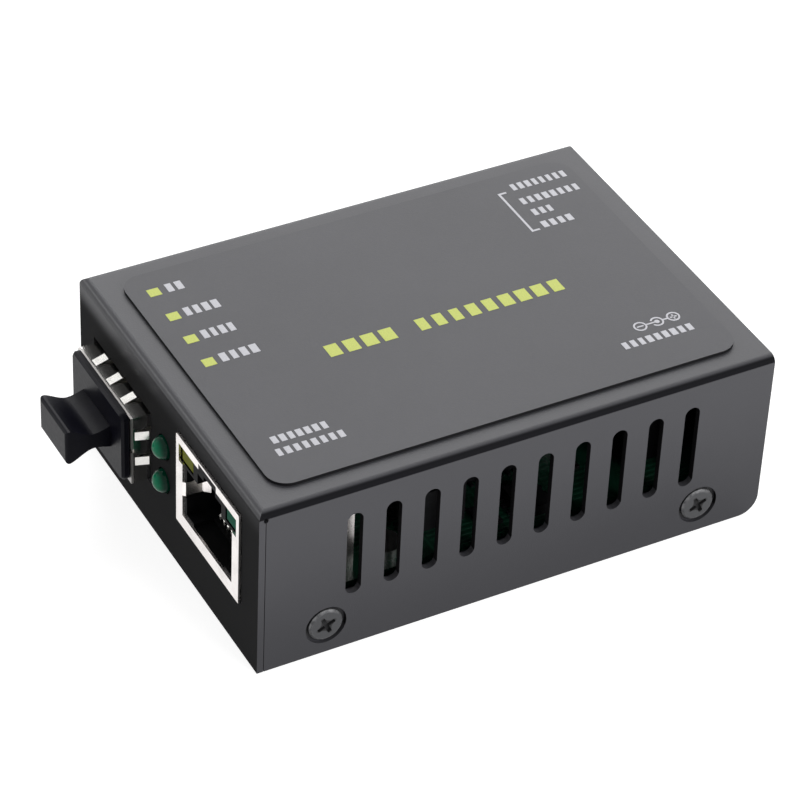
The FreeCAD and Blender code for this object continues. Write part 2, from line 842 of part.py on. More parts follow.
def status_led_leads():
    """Two square leads behind each light, bent down into the board."""
    leads = []
    rim_rear = board_front + holder_depth
    for order, z in enumerate(light_heights):
        drop = rim_rear + lead_drop_gap + order * lead_drop_pitch
        for way in (-0.5, 0.5):
            x = light_place + way * lead_spacing
            flat = block(x - lead_size / 2, x + lead_size / 2, rim_rear, drop + lead_size,
                         z - lead_size / 2, z + lead_size / 2)
            down = block(x - lead_size / 2, x + lead_size / 2, drop, drop + lead_size,
                         board_top, z + lead_size / 2)
            leads.append(fused([flat, down]))
    return Part.makeCompound(leads)


# ---------------------------------------------------------------- copper port
def port_outline():
    """Stepped outline of the port as (x, z) points round the jack's centre line."""
    half = port_width / 2
    lamp_out = jack_width / 2 - lamp_window_inset
    lamp_top = jack_top - notch_rise
    notch = notch_width / 2
    right = [(half, port_floor), (half, lamp_low_edge), (lamp_out, lamp_low_edge),
             (lamp_out, lamp_top), (notch, lamp_top), (notch, jack_top - shield_sheet)]
    left = [(-x, z) for x, z in reversed(right)]
    return [(jack_centre + x, z) for x, z in right + left]


def shield_leg_places():
    """Centre and size of each leg under the shield's side walls."""
    offset = jack_width / 2 - shield_sheet / 2
    return [(jack_centre + way * offset, jack_front + depth, shield_sheet, shield_leg_width)
            for way in (-1, 1) for depth in shield_leg_depths]


def shield_tab(way):
    """Sprung tab from the port's side border: straight back, kinked inwards, curled out again."""
    edge = port_width / 2
    t = shield_sheet
    y0 = jack_front + t
    bend = y0 + tab_straight
    crest = bend + tab_ramp
    tail = crest + tab_curl
    inner = edge - tab_lean
    points = [(edge, jack_front), (edge + t, jack_front), (edge + t, y0), (edge, y0), (edge, bend),
              (inner + t, crest), (edge, tail), (edge - t, tail), (inner, crest), (edge - t, bend),
              (edge - t, y0)]
    placed = [(jack_centre + way * x, y) for x, y in points]
    return along_z(placed, tab_centre - tab_height / 2, tab_centre + tab_height / 2)


def jack_shield():
    """Bright sheet round the jack: face, top, sides and rear, open underneath."""
    half = jack_width / 2
    outer = block(jack_centre - half, jack_centre + half, jack_front, jack_rear,
                  board_top, jack_top)
    edges = [Vector(jack_centre - half, 0, jack_top), Vector(jack_centre + half, 0, jack_top)]
    outer = rounded(outer, shield_sheet, Y, edges)
    inner_half = half - shield_sheet
    hollow = block(jack_centre - inner_half, jack_centre + inner_half, jack_front + shield_sheet,
                   jack_rear - shield_sheet, board_top - 1, jack_top - shield_sheet)
    mouth = along_y(port_outline(), jack_front - 1, jack_front + shield_sheet + 0.1)
    legs = []
    for x, y, wide, deep in shield_leg_places():
        legs.append(block(x - wide / 2, x + wide / 2, y - deep / 2, y + deep / 2,
                          board_top - shield_leg_length, board_top))
    shell = outer.cut([hollow, mouth])
    slits = []
    slit_length = side_spring_length + side_slit_margin
    for way in (-1, 1):
        wall = jack_centre + way * (half - shield_sheet / 2)
        y0 = jack_rear - side_spring_setback
        z0 = board_top + side_spring_rise - side_slit_margin
        slits.append(block(wall - shield_sheet, wall + shield_sheet, y0, y0 + slit_length,
                           z0, z0 + side_spring_height + 2 * side_slit_margin))
    springs = []
    for way in (-1, 1):
        springs.append(shield_side_spring(way))
    return shell.cut(slits).fuse(legs + springs + [shield_tab(-1), shield_tab(1)]).removeSplitter()


def shield_side_spring(way):
    """Earthing tongue in the side wall, bowed out towards the cover."""
    outer = jack_width / 2
    y0 = jack_rear - side_spring_setback
    t = shield_sheet
    crest = y0 + side_spring_length / 2
    tail = y0 + side_spring_length
    points = [(outer - t, y0 - t), (outer, y0 - t), (outer + side_spring_bow, crest), (outer, tail),
              (outer - t, tail), (outer + side_spring_bow - t, crest)]
    placed = [(jack_centre + way * x, y) for x, y in points]
    low = board_top + side_spring_rise
    return along_z(placed, low, low + side_spring_height)


def jack_housing():
    """Black moulding with the stepped plug cavity and two lamp channels."""
    half = jack_width / 2 - shield_sheet
    y0 = jack_front + shield_sheet
    y1 = jack_rear - shield_sheet
    body = block(jack_centre - half, jack_centre + half, y0, y1, board_top, jack_top - shield_sheet)
    socket_half = socket_width / 2
    socket = block(jack_centre - socket_half, jack_centre + socket_half,
                   y0 - 1, y0 + socket_depth, socket_floor, socket_ceiling)
    latch_end = y0 + socket_depth - latch_setback
    latch = block(jack_centre - latch_width / 2, jack_centre + latch_width / 2,
                  y0 - 1, latch_end, socket_ceiling - 0.1, socket_ceiling + latch_rise)
    notch_half = (notch_width - latch_rise) / 2
    notch = block(jack_centre - notch_half, jack_centre + notch_half,
                  y0 - 1, latch_end, socket_ceiling, jack_top - 2 * shield_sheet - notch_rise)
    comb_half = wire_pitch * wire_count / 2
    comb = block(jack_centre - comb_half, jack_centre + comb_half,
                 y0 - 1, y0 + wire_front - comb_depth, socket_floor - comb_depth, socket_floor + 0.1)
    cutters = [socket, latch, notch, comb]
    for way in (-1, 1):
        outer = jack_width / 2 - lamp_window_inset
        x0, x1 = sorted((jack_centre + way * (outer - lamp_window_width), jack_centre + way * outer))
        cutters.append(block(x0, x1, y0 - 1, y0 + lamp_depth, lamp_low_edge, jack_top - notch_rise))
        tab_out = port_width / 2 + tab_side_gap
        x0, x1 = sorted((jack_centre + way * (socket_half - 0.1), jack_centre + way * tab_out))
        tab_half = tab_height / 2 + tab_side_gap
        cutters.append(block(x0, x1, y0 - 1, y0 + tab_straight + tab_ramp + tab_curl + tab_side_gap,
                             tab_centre - tab_half, tab_centre + tab_half))
    return body.cut(cutters).removeSplitter()


def wire_profile():
    """Side outline of one sprung wire: low at the comb, rising to the back wall."""
    y0 = jack_front + shield_sheet
    s = wire_size
    back = y0 + socket_depth
    low = socket_floor + wire_low
    high = socket_floor + wire_high
    knee = y0 + wire_front + wire_ramp
    start = y0 + wire_front
    return [(start, socket_floor), (start + s, socket_floor), (start + s, low - s * 0.4),
            (knee, high), (back, high), (back, high + s), (knee - s * 0.4, high + s),
            (start, low + s * 0.4)]


def jack_contacts():
    wires = []
    for index in range(wire_count):
        x = jack_centre + (index - (wire_count - 1) / 2) * wire_pitch
        wires.append(along_x(wire_profile(), x - wire_size / 2, x + wire_size / 2))
    return Part.makeCompound(wires)


def jack_lamp(way):
    """Lens block in one top corner of the jack, with a rounded face."""
    outer = jack_width / 2 - lamp_window_inset
    x0, x1 = sorted((jack_centre + way * (outer - lamp_window_width), jack_centre + way * outer))
    y0 = jack_front + shield_sheet + lamp_setback
    y1 = jack_front + shield_sheet + lamp_depth
    z0 = lamp_low_edge
    z1 = jack_top - notch_rise
    lens = block(x0, x1, y0, y1, z0, z1)
    face = [edge for edge in lens.Edges if abs(edge.CenterOfMass.y - y0) < 1e-6]
    return lens.makeFillet(lamp_face_radius, face)


# ---------------------------------------------------------------- power inlet
def dc_jack_housing():
    """Block on the board with a round boss that fills the hole in the rear panel."""
    half = inlet_width / 2
    top = board_top + inlet_height
    body = block(inlet_centre - half, inlet_centre + half, inlet_front, inlet_rear, board_top, top)
    body = rounded(body, inlet_corner_radius, Y, [Vector(inlet_centre - half, 0, top),
                                                  Vector(inlet_centre + half, 0, top)])
    boss = rod(inlet_centre, inlet_rear - 1, inlet_axis, inlet_boss_radius,
               rear_panel_outer - inlet_rear + 1, Y)
    bore = rod(inlet_centre, rear_panel_outer - inlet_bore_depth, inlet_axis,
               inlet_bore_radius, inlet_bore_depth + 5, Y)
    recess_half = inlet_spring_width / 2 + inlet_recess_gap
    recess = block(inlet_centre - recess_half, inlet_centre + recess_half,
                   inlet_front - 1, inlet_front + inlet_recess_depth, board_top - 1,
                   inlet_axis - inlet_bore_radius / 2)
    return fused([body, boss]).cut([bore, recess]).removeSplitter()


def dc_jack_pin():
    """Centre pin with a bevelled tip, standing in the bore."""
    y0 = rear_panel_outer - inlet_bore_depth
    length = inlet_bore_depth - inlet_pin_setback
    pin = rod(inlet_centre, y0, inlet_axis, inlet_pin_radius, length, Y)
    tip = [edge for edge in pin.Edges if abs(edge.CenterOfMass.y - y0 - length) < 1e-6]
    return pin.makeChamfer(inlet_pin_radius / 2, tip)


def dc_jack_spring():
    """Leaf contact under the bore, standing on the board."""
    t = inlet_spring_sheet
    foot = inlet_front + inlet_spring_foot
    crest = foot + inlet_spring_crest
    tail = crest + inlet_spring_tail
    high = inlet_axis - inlet_bore_radius - inlet_spring_gap
    low = high - inlet_spring_drop
    points = [(foot, board_top), (foot + t, board_top), (foot + t, low - t), (crest, high - t),
              (tail, low - t), (tail, low), (crest, high), (foot, low)]
    half = inlet_spring_width / 2
    return along_x(points, inlet_centre - half, inlet_centre + half)


# ---------------------------------------------------------------- parts on the board
def row_of_leads(x, y, size, count, pitch, width):
    """Flat leads along both long sides of a package centred on (x, y)."""
    leads = []
    buried = part_gap / 2
    offset_y = size[1] / 2 + (lead_foot - buried) / 2
    for index in range(count):
        offset_x = (index - (count - 1) / 2) * pitch
        for way in (-1, 1):
            leads.append(centred_block(x + offset_x, y + way * offset_y, board_top,
                                       (width, lead_foot + buried, lead_thickness)))
    return leads


def moulded_body(x, y, size):
    """Package body that stands just clear of the board on its leads."""
    wide, deep, high = size
    return centred_block(x, y, board_top + package_lift, (wide, deep, high - package_lift))


def transceiver_chip():
    """Flat package with leads on all four sides."""
    x, y = chip_place
    body = moulded_body(x, y, (chip_size, chip_size, chip_height))
    leads = []
    reach = chip_size / 2
    half = chip_lead_width / 2
    for index in range(chip_leads_per_side):
        offset = (index - (chip_leads_per_side - 1) / 2) * chip_lead_pitch
        for turn in (0, 90, 180, 270):
            lead = block(reach - part_gap / 2, reach + chip_lead_reach, offset - half, offset + half,
                         0, lead_thickness)
            lead.rotate(Vector(0, 0, 0), Z, turn)
            lead.translate(Vector(x, y, board_top))
            leads.append(lead)
    return fused([body] + leads)


def magnetics():
    """Isolation transformer block with a row of leads on each long side."""
    x, y = magnetics_place
    leads = row_of_leads(x, y, magnetics_size, magnetics_lead_count, magnetics_lead_pitch,
                         chip_lead_width)
    return fused([moulded_body(x, y, magnetics_size)] + leads)


def crystal():
    """Metal can with round ends."""
    x, y = crystal_place
    wide, deep, high = crystal_size
    can = centred_block(x, y, board_top, crystal_size)
    corners = [Vector(x + sx * wide / 2, y + sy * deep / 2, 0) for sx in (-1, 1) for sy in (-1, 1)]
    return rounded(can, deep * crystal_end_share, Z, corners)


def power_inductor():
    """Square ferrite with a round winding window in the top."""
    x, y = inductor_place
    body = centred_block(x, y, board_top, (inductor_size, inductor_size, inductor_height))
    half = inductor_size / 2
    corners = [Vector(x + sx * half, y + sy * half, 0) for sx in (-1, 1) for sy in (-1, 1)]
    body = rounded(body, inductor_corner_radius, Z, corners)
    low = board_top + inductor_height - winding_depth
    outer = half - winding_margin
    ring = rod(x, y, low, outer, 1, Z).cut(rod(x, y, low, outer - winding_width, 1, Z))
    return body.cut(ring)


def bulk_capacitors():
    """Aluminium cans on square bases."""
    cans = []
    base_size = (capacitor_base_size, capacitor_base_size, capacitor_base_height)
    for x, y in capacitor_places:
        base = centred_block(x, y, board_top, base_size)
        can = rod(x, y, board_top + capacitor_base_height, capacitor_radius,
                  capacitor_height - capacitor_base_height, Z)
        cans.append(fused([base, can]))
    return Part.makeCompound(cans)


def small_package(place, size, lead_count):
    """Small moulded package with leads on its two long sides."""
    x, y = place
    leads = row_of_leads(x, y, size, lead_count, size[0] / lead_count, small_lead_width)
    return fused([moulded_body(x, y, size)] + leads)


def chips_on_board(places, size):
    return Part.makeCompound([centred_block(x, y, board_top, size) for x, y in places])


nodes = {
    "top_cover": top_cover(),
    "base_tray": base_tray(),
    "label_overlay": label_overlay(),
    "cover_screws": cover_screws(),
    "circuit_board": circuit_board(),
    "board_standoffs": board_standoffs(),
    "board_screws": board_screws(),
    "cage_shell": cage_shell(),
    "cage_floor": cage_floor(),
    "cage_spring_collar": cage_spring_collar(),
    "sfp_connector": sfp_connector(),
    "sfp_contacts": sfp_contacts(),
    "dust_plug": dust_plug(),
    "led_holder": led_holder(),
    "lower_status_led": status_light(light_heights[0]),
    "upper_status_led": status_light(light_heights[1]),
    "status_led_leads": status_led_leads(),
    "jack_shield": jack_shield(),
    "jack_housing": jack_housing(),
    "jack_contacts": jack_contacts(),
    "jack_left_led": jack_lamp(-1),
    "jack_right_led": jack_lamp(1),
    "dc_jack_housing": dc_jack_housing(),
    "dc_jack_pin": dc_jack_pin(),
    "dc_jack_spring": dc_jack_spring(),
    "transceiver_chip": transceiver_chip(),
    "magnetics": magnetics(),
    "crystal": crystal(),
    "power_inductor": power_inductor(),
    "bulk_capacitors": bulk_capacitors(),
    "regulator": small_package(regulator_place, regulator_size, regulator_lead_count),
    "memory_chip": small_package(memory_place, memory_size, memory_lead_count),
    "ceramic_capacitors": chips_on_board(ceramic_places, ceramic_size),
    "chip_resistors": chips_on_board(resistor_places, resistor_size),
}

os.makedirs("parts", exist_ok=True)
for name, shape in nodes.items():
    shape.exportStep("parts/" + name + ".step")
    print(name, len(shape.Solids), round(shape.Volume, 2), shape.isValid())
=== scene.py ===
# %% [markdown]
# # Fibre media converter
#
# A palm-sized folded steel box that turns copper network signals into light. The fixed frame already
# holds its folded cover, ports, screws and board as solids of the right size. This lesson gives each of
# them a finish, adds the print on the top, and sets the studio round it. Units are metres.

# %% Load the frame
import math

import bmesh
import bpy
from mathutils import Matrix, Vector


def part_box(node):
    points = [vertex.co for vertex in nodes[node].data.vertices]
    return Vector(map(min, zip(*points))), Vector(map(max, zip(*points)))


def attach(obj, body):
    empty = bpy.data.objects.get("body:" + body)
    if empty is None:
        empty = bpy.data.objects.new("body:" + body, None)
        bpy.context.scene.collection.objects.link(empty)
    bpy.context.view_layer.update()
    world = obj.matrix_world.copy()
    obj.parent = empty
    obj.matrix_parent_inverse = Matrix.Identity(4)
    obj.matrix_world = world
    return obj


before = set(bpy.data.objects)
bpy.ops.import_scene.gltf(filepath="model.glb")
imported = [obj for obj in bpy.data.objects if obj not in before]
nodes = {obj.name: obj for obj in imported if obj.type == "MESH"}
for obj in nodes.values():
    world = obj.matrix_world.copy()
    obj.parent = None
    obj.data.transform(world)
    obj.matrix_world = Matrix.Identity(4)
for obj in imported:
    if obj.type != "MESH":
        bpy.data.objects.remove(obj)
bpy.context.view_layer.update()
mm = 0.001

# %% [markdown]
# ## Camera
#
# The box is seen from above its front right corner. A long lens flattens the perspective, so the camera
# stands far off and the view is a little rolled. Its axes are worked out from three angles instead of
# a tracking constraint, because a constraint can't hold the roll.

# %% Camera
view_azimuth = math.radians(60.351)
view_elevation = math.radians(38.439)
view_roll = math.radians(2.798)
view_distance = 0.41873
view_target = Vector((-0.000094, -0.002729, 0.01171))


def camera_axes(azimuth, elevation, roll):
    """Right, up and backward directions of the camera."""
    backward = Vector((math.sin(azimuth) * math.cos(elevation),
                       -math.cos(azimuth) * math.cos(elevation), math.sin(elevation)))
    level_right = Vector((math.cos(azimuth), math.sin(azimuth), 0))
    level_up = backward.cross(level_right)
    right = math.cos(roll) * level_right + math.sin(roll) * level_up
    up = math.cos(roll) * level_up - math.sin(roll) * level_right
    return right, up, backward


right, up, backward = camera_axes(view_azimuth, view_elevation, view_roll)
camera_data = bpy.data.cameras.new("camera")
camera_data.lens = 157.88
camera_data.sensor_width = 36
camera = bpy.data.objects.new("camera", camera_data)
bpy.context.scene.collection.objects.link(camera)
turn = Matrix((right, up, backward)).transposed().to_4x4()
camera.matrix_world = Matrix.Translation(view_target + backward * view_distance) @ turn
bpy.context.scene.camera = camera
print("camera at", [round(value, 3) for value in camera.location])

# %% [markdown]
# ## Shader maths in plain Python
#
# Procedural finishes are sums and products of noise. Wiring those by hand hides the formula, so a small
# class wraps a node's output and turns Python's operators into Math nodes.


# %% Shader helper
class Wire:
    """A node output that can be added, multiplied and compared like a number."""

    def __init__(self, tree, socket):
        self.tree = tree
        self.socket = socket

    def node(self, kind, settings=None, output=0, **sockets):
        """Adds a node, sets it up, fills its named inputs, and returns one of its outputs."""
        made = self.tree.nodes.new(kind)
        for name, value in (settings or {}).items():
            setattr(made, name, value)
        for name, value in sockets.items():
            key = int(name[1:]) if name[0] == "i" and name[1:].isdigit() else name.replace("_", " ")
            target = made.inputs[key]
            if isinstance(value, Wire):
                self.tree.links.new(value.socket, target)
            else:
                target.default_value = value
        return Wire(self.tree, made.outputs[output])

    def math(self, operation, first, second=0.0):
        return self.node("ShaderNodeMath", {"operation": operation}, i0=first, i1=second)

    def __add__(self, other):
        return self.math("ADD", self, other)

    def __radd__(self, other):
        return self.math("ADD", other, self)

    def __sub__(self, other):
        return self.math("SUBTRACT", self, other)

    def __rsub__(self, other):
        return self.math("SUBTRACT", other, self)

    def __mul__(self, other):
        return self.math("MULTIPLY", self, other)

    def __rmul__(self, other):
        return self.math("MULTIPLY", other, self)

    def __pow__(self, other):
        return self.math("POWER", self, other)

    def along(self, axis):
        """One part of a vector, by its letter."""
        return self.node("ShaderNodeSeparateXYZ", output="xyz".index(axis), Vector=self)

    def above(self, low, high):
        """0 below low, 1 above high, with a smooth step between."""
        return self.node("ShaderNodeMapRange", {"interpolation_type": "SMOOTHSTEP", "clamp": True},
                         Value=self, From_Min=low, From_Max=high)

    def mixed(self, first, second):
        """A colour that goes from first to second as this value goes from 0 to 1."""
        made = self.tree.nodes.new("ShaderNodeMix")
        made.data_type = "RGBA"
        self.tree.links.new(self.socket, made.inputs["Factor"])
        colours = [socket for socket in made.inputs if socket.type == "RGBA"]
        for socket, value in zip(colours, (first, second)):
            if isinstance(value, Wire):
                self.tree.links.new(value.socket, socket)
            else:
                socket.default_value = (*value, 1)
        result = [socket for socket in made.outputs if socket.type == "RGBA"][0]
        return Wire(self.tree, result)


def finish_named(name, colour, roughness, **constants):
    """A Principled material with its plain values set, and a Wire to build on."""
    material = bpy.data.materials.new(name)
    material.use_nodes = True
    shader = material.node_tree.nodes["Principled BSDF"]
    shader.inputs["Base Color"].default_value = (*colour, 1)
    shader.inputs["Roughness"].default_value = roughness
    for socket, value in constants.items():
        shader.inputs[socket.replace("_", " ")].default_value = value
    place = material.node_tree.nodes.new("ShaderNodeTexCoord")
    return material, shader, Wire(material.node_tree, place.outputs["Object"])


def feed(shader, **sockets):
    """Links wires to the shader's named inputs."""
    for name, wire in sockets.items():
        wire.tree.links.new(wire.socket, shader.inputs[name.replace("_", " ")])


def surface_direction(place):
    """The way the surface faces, on the object's own axes."""
    normal_output = 1
    return place.node("ShaderNodeTexCoord", output=normal_output)


def noise(place, scale, detail=3.0):
    """Cloudy values round 0.5; scale is how many clouds fit in a metre."""
    fine_share = 0.55
    return place.node("ShaderNodeTexNoise", Vector=place, Scale=scale, Detail=detail,
                      Roughness=fine_share)


def bump(place, height, distance):
    """A surface direction that leans as if height stood up by distance."""
    return place.node("ShaderNodeBump", Height=height, Distance=distance, Strength=1.0)


def shaded(colour, share):
    """The same hue, darker."""
    return [share * part for part in colour]


def wear(material, *names):
    """Gives the named nodes this finish."""
    for name in names:
        slots = nodes[name].data.materials
        slots.clear()
        slots.append(material)


print("shader helpers are ready")

# %% [markdown]
# ## Casing paint
#
# The cover and tray are sheet steel under one fine black powder coat with a satin skin. Powder leaves a
# slight orange peel, so two sizes of noise drive a bump, and a broad noise shades the colour a little.
# The long bends carry a dark painted band of shade, and the front bend a lighter, smoother painted
# highlight;
# the port panel and the inner faces are painted near-black as shade. The surface's own direction tells
# where the bends are, since there it points halfway between two flat faces. Place and direction together
# tell the inside from the outside. A ramp on the height, stirred by the broad noise, paints the side walls
# darker low down and lighter high up, as painted shade. A dark ring is painted in the dimple round each
# screw as the shade there.

# %% Casing paint
screw_low, screw_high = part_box("cover_screws")
head_radius = (screw_high.z - screw_low.z) / 2
screw_y = screw_high.y - head_radius
screw_z = (screw_low.z + screw_high.z) / 2


def from_screw(place):
    """Offsets along and up from the nearest cover screw's centre, and the distance."""
    place_y = place.along("y")
    side_sign = place.math("SIGN", place.along("x"))
    off_y = (place_y - place.math("SIGN", place_y) * screw_y) * side_sign
    off_z = place.along("z") - screw_z
    return off_y, off_z, (off_y * off_y + off_z * off_z) ** 0.5


paint, shader, place = finish_named("casing_paint", (0.05, 0.05, 0.053), 0.45, Specular_IOR_Level=0.25)
grain = noise(place, 5200)
peel = noise(place, 900)
drift = noise(place, 60)
facing = surface_direction(place)
facing_x, facing_y, facing_z = (facing.along(axis) for axis in "xyz")
place_x, place_z = place.along("x"), place.along("z")

# masks from the direction alone: squares make both sides of the casing alike
sideways = facing_x * facing_x
upright = facing_z * facing_z
side_wall = sideways.above(0.9, 0.99)
# side_bend marks the long bends' painted dark band of shade; front_bend marks the front bend's painted
# highlight
side_bend = sideways.above(0.03, 0.5) * (1 - sideways.above(0.93, 0.995)) * upright.above(0.001, 0.01)
front_bend = (0 - facing_y * facing_z).above(0.10, 0.35)

# masks from place and direction: the panel's upper edge keeps the satin paint, most of all at its left
# end, as a painted highlight under the front bend, and an inner face points back towards the origin,
# under the middle of the casing
casing_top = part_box("top_cover")[1].z
panel_sheen_low, panel_sheen_high = casing_top - 4.5 * mm, casing_top - 0.6 * mm
panel_sheen_left, panel_sheen_right = -22 * mm, 10 * mm
panel_sheen = (0.9 - 0.6 * place_x.above(panel_sheen_left, panel_sheen_right)) * place_z.above(panel_sheen_low, panel_sheen_high)
front_face = (0 - facing_y).above(0.90, 0.99) * (1 - panel_sheen)
inner_low, inner_high = 5 * mm, 10 * mm
inside = ((0 - place_x * facing_x).above(inner_low, inner_high)
          + (0 - place_z * facing_z).above(inner_low, inner_high))

# painted sheen: the grey of the front bend's painted highlight and of the lit top of the side walls
painted_sheen_grey = (0.066, 0.066, 0.073)
flat_colour = drift.above(0.2, 0.8).mixed((0.047, 0.047, 0.053), (0.056, 0.056, 0.063))
# painted shade: the side walls are painted darker low down and lighter high up
wall_low, wall_high, wall_drift = 3 * mm, 24 * mm, 6 * mm
wall_height = place_z + wall_drift * drift
wall_shade = wall_height.above(wall_low, wall_high).mixed((0.035, 0.035, 0.040), painted_sheen_grey)
tone_and_wall_shade = side_wall.mixed(flat_colour, wall_shade)
# painted shade: a dark ring in the dimple round each screw head
screw_distance = from_screw(place)[2]
ring_full, ring_end = head_radius + 0.15 * mm, head_radius + 0.45 * mm
dimple_shade_ring = (screw_distance.above(head_radius * 0.9, head_radius)
              * (1 - screw_distance.above(ring_full, ring_end)))
toned_and_shaded = (0.85 * dimple_shade_ring).mixed(tone_and_wall_shade, (0.006, 0.006, 0.007))
orange_peel = bump(place, 0.6 * grain + 0.4 * peel, 0.00002)
# painted highlight: the front bend takes the painted sheen grey
feed(shader, Base_Color=front_bend.mixed(toned_and_shaded, painted_sheen_grey),
     Roughness=0.42 + 0.10 * grain - 0.10 * front_bend, Normal=orange_peel)

# the port panel, the inside and the long bends are painted near-black and matt as shade; the sum is
# clamped, so that places under two masks aren't counted twice
painted_shade_colour = side_bend.mixed((0.006, 0.006, 0.0065), (0.0045, 0.0045, 0.006))
matt = place.node("ShaderNodeBsdfPrincipled", Base_Color=painted_shade_colour, Roughness=0.8,
                  Specular_IOR_Level=0.08, Normal=orange_peel)
satin = Wire(paint.node_tree, shader.outputs[0])
satin_or_shade = place.node("ShaderNodeMixShader", i0=(front_face + 0.9 * side_bend + inside).above(0, 1),
                   i1=satin, i2=matt)
paint.node_tree.links.new(satin_or_shade.socket, paint.node_tree.nodes["Material Output"].inputs["Surface"])
wear(paint, "top_cover", "base_tray")
print("casing paint on the cover and tray")

# %% [markdown]
# ## Label film
#
# The overlay is a polyester film with a fine matt texture, close to the paint round it in colour. Its cut
# edge is painted near-black as the shade along the film's step. The edge is found by the surface's
# direction again: only the film's rim faces sideways.

# %% Label film
film, shader, place = finish_named("label_film", (0.06, 0.06, 0.064), 0.5, Specular_IOR_Level=0.25)
facing_up = surface_direction(place).along("z")
film_drift = noise(place, 45).above(0.2, 0.8).mixed((0.042, 0.042, 0.048), (0.049, 0.049, 0.056))
# painted shade: the film's sideways rim is near-black
feed(shader, Base_Color=facing_up.above(0.3, 0.7).mixed((0.004, 0.004, 0.005), film_drift),
     Roughness=0.44 + 0.12 * noise(place, 3000),
     Normal=bump(place, noise(place, 7000), 0.00001))
wear(film, "label_overlay")
print("film on the label")

# %% [markdown]
# ## Sheet metal of the ports
#
# Three stampings meet at the panel. The jack's shield is nickel-plated with rolling lines along the
# strip, the cage is duller steel, and its collar is bright spring stock. Rolled sheet shows fine lines in
# one direction, so the noise is stretched: its place is scaled hard across the lines and little along
# them, which a Mapping node does.

# %% Rolled sheet
def rolled_sheet(name, colour, roughness, across, worn_by, spread=1.0):
    """Metal with fine lines; across holds the scale of the lines' noise on each axis.

    spread is how strongly the lines and stains vary the roughness and the surface.
    """
    material, shader, place = finish_named(name, colour, roughness, Metallic=1.0)
    stretched = place.node("ShaderNodeMapping", Vector=place, Scale=across)
    lines = noise(stretched, 1.0, detail=2.0)
    stain = noise(place, 350).above(0.35, 0.8)
    feed(shader, Base_Color=stain.mixed(colour, shaded(colour, 0.82)),
         Roughness=roughness + 0.14 * spread * lines + 0.08 * spread * stain,
         Normal=bump(place, lines, 0.000006 * spread))
    wear(material, *worn_by)


rolled_sheet("shield_nickel", (0.92, 0.88, 0.86), 0.26, (700, 700, 1800), ("jack_shield",), 0.1)
rolled_sheet("cage_steel", (0.40, 0.39, 0.37), 0.36, (9000, 400, 9000), ("cage_shell", "cage_floor"))
rolled_sheet("bright_steel", (0.72, 0.72, 0.71), 0.22, (3000, 3000, 3000),
             ("board_screws", "status_led_leads", "dc_jack_pin", "dc_jack_spring", "crystal"))
rolled_sheet("standoff_brass", (0.62, 0.47, 0.20), 0.28, (3000, 3000, 9000), ("board_standoffs",))
rolled_sheet("gold_plate", (0.80, 0.60, 0.26), 0.2, (4000, 800, 4000), ("sfp_contacts",))
rolled_sheet("contact_wire", (0.95, 0.93, 0.88), 0.34, (4000, 800, 4000), ("jack_contacts",))
rolled_sheet("can_aluminium", (0.72, 0.72, 0.73), 0.25, (2500, 2500, 9000), ("bulk_capacitors",))
print("metal on the ports, pins, posts and cans")

# %% [markdown]
# ## Sprung collar
#
# The collar is polished spring stock: the band mirrors the black panel behind it and looks dark, while the
# fingers' ramps mirror the open room and flash white. A mask on the distance from the folded lip makes
# that edge duller, greyer and rougher, a grey line painted as the highlight along the lip's rim.

# %% Sprung collar
collar, shader, place = finish_named("spring_nickel", (0.80, 0.79, 0.76), 0.09, Metallic=1.0)
lip_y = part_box("cage_spring_collar")[0].y
# painted highlight: a grey, rougher line along the lip's rim
lip_highlight_full, lip_highlight_end = lip_y + 0.26 * mm, lip_y + 0.32 * mm
lip_highlight = 1 - place.along("y").above(lip_highlight_full, lip_highlight_end)
smear = noise(place, 900)
plain = smear.above(0.4, 0.8).mixed((0.80, 0.79, 0.76), (0.66, 0.65, 0.62))
feed(shader, Base_Color=lip_highlight.mixed(plain, (0.34, 0.33, 0.32)),
     Roughness=0.12 + 0.06 * smear + 0.22 * lip_highlight, Normal=bump(place, smear, 0.000003))
wear(collar, "cage_spring_collar")
print("collar lip at", round(lip_y / mm, 2), "mm")

# %% [markdown]
# ## Moulded plastic, rubber and lenses
#
# Moulded parts carry the fine spark texture of their tool. The plug is a soft rubber with a low sheen
# and pale scuffs. These differ only in colour, grain and gloss, so one function makes them all. The
# lenses are tinted resin: smooth, painted bright in the middle as light and deeper in colour towards the
# rim as painted shade. Real resin would need many light paths, so the surface's direction picks the colour
# instead.

# %% Mouldings
def moulding(name, colour, roughness, texture, worn_by, **constants):
    """Matt moulded surface; texture is the size of its grain, as a noise scale."""
    material, shader, place = finish_named(name, colour, roughness, **constants)
    grain = noise(place, texture)
    blush = noise(place, texture / 12).above(0.45, 0.85)
    lighter = [1.6 * part + 0.001 for part in colour]
    feed(shader, Base_Color=blush.mixed(colour, lighter), Roughness=roughness - 0.06 + 0.14 * grain,
         Normal=bump(place, grain, 0.000012))
    wear(material, *worn_by)


moulding("black_plastic", (0.0035, 0.0035, 0.004), 0.5, 4200,
         ("sfp_connector", "led_holder", "jack_housing", "dc_jack_housing"), Specular_IOR_Level=0.05)
moulding("plug_rubber", (0.0028, 0.0028, 0.006), 0.38, 2600, ("dust_plug",), Specular_IOR_Level=0.08)
moulding("chip_black", (0.006, 0.006, 0.007), 0.5, 6000,
         ("transceiver_chip", "magnetics", "regulator", "memory_chip", "chip_resistors"),
         Specular_IOR_Level=0.2)
moulding("ferrite_grey", (0.09, 0.09, 0.09), 0.6, 5000, ("power_inductor",))
moulding("ceramic_tan", (0.33, 0.22, 0.12), 0.4, 5000, ("ceramic_capacitors",))
print("mouldings are on")

